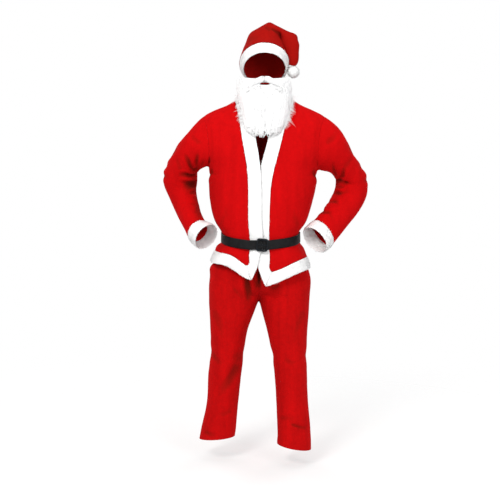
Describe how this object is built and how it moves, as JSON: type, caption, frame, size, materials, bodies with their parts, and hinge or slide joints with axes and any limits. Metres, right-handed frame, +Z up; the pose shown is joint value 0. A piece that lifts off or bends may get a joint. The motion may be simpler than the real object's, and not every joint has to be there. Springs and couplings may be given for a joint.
{
  "type": "santa suit",
  "caption": "Adult santa suit as worn, hands on hips: red jacket and trousers with white plush trim, black belt, floppy hat and long white false beard.",
  "frame": {"origin": "between the shoulders, where the wearer holds the jacket up, 1.450 m above the wearer's soles", "axes": "+Z up, the front faces -Y, the wearer's left is at +X"},
  "size_m": [0.8491, 0.3246, 1.7232],
  "materials": {
    "red_cloth": "soft brushed felt, matte",
    "white_plush": "short dense plush, matte",
    "black_strap": "imitation leather, low sheen",
    "dark_plastic": "moulded, semi-gloss blue-black",
    "white_fur": "long soft curls, matte",
    "white_elastic": "flat braided elastic, matte"
  },
  "bodies": {
    "root": {"jacket_back": "red_cloth", "jacket_front_right": "red_cloth", "jacket_front_left": "red_cloth", "sleeve_right": "red_cloth", "sleeve_left": "red_cloth", "band_front_right": "white_plush", "band_front_left": "white_plush", "band_neck": "white_plush", "band_hem": "white_plush", "cuff_right": "white_plush", "cuff_left": "white_plush", "belt_strap": "black_strap", "belt_buckle": "dark_plastic", "belt_prong": "dark_plastic", "trouser_leg_right": "red_cloth", "trouser_leg_left": "red_cloth", "trouser_waistband": "red_cloth", "hat_crown": "red_cloth", "hat_brim": "white_plush", "hat_pompom": "white_plush", "beard": "white_fur", "moustache": "white_fur", "beard_elastic": "white_elastic"}
  },
  "joints": []
}
